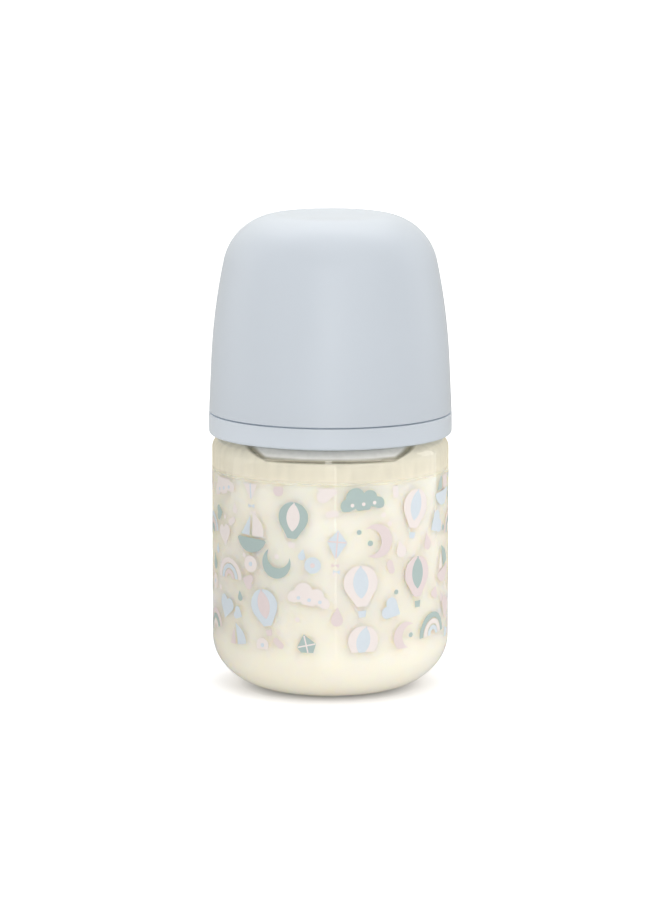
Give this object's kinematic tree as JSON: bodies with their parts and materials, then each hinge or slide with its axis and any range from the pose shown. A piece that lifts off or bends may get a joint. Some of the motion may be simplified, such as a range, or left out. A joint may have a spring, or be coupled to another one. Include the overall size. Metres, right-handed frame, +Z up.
{
  "type": "baby bottle",
  "caption": "Short wide-neck baby bottle: clear round bottle, soft teat, screw ring that clamps it, and a tall domed hood.",
  "frame": {"origin": "centre of the foot, in the plane that the bottle stands on", "axes": "+Z up along the bottle's axis; -Y towards the front"},
  "size_m": [0.0666, 0.0666, 0.1305],
  "materials": {
    "clear_plastic": "clear moulded polypropylene, glossy",
    "silicone": "soft translucent silicone, satin",
    "pale_plastic": "pale grey-blue polypropylene, satin"
  },
  "bodies": {
    "bottle": {"bottle": "clear_plastic"},
    "teat": {"teat": "silicone"},
    "ring": {"screw_ring": "pale_plastic"},
    "hood": {"hood": "pale_plastic"}
  },
  "joints": [
    {"name": "ring_lift", "type": "slide", "parent": "bottle", "child": "teat", "axis": [0, 0, 1], "range_m": [0, 0.00675]},
    {"name": "ring_turn", "type": "hinge", "parent": "teat", "child": "ring", "pos_m": [0, 0, 0.08], "axis": [0, 0, 1], "range_deg": [0, 540.5]},
    {"name": "hood_pull", "type": "slide", "parent": "ring", "child": "hood", "axis": [0, 0, 1], "range_m": [0, 0.055]}
  ],
  "couplings": [
    {"joint": "ring_turn", "follows": "ring_lift", "rad_per_m": 1396.3}
  ]
}
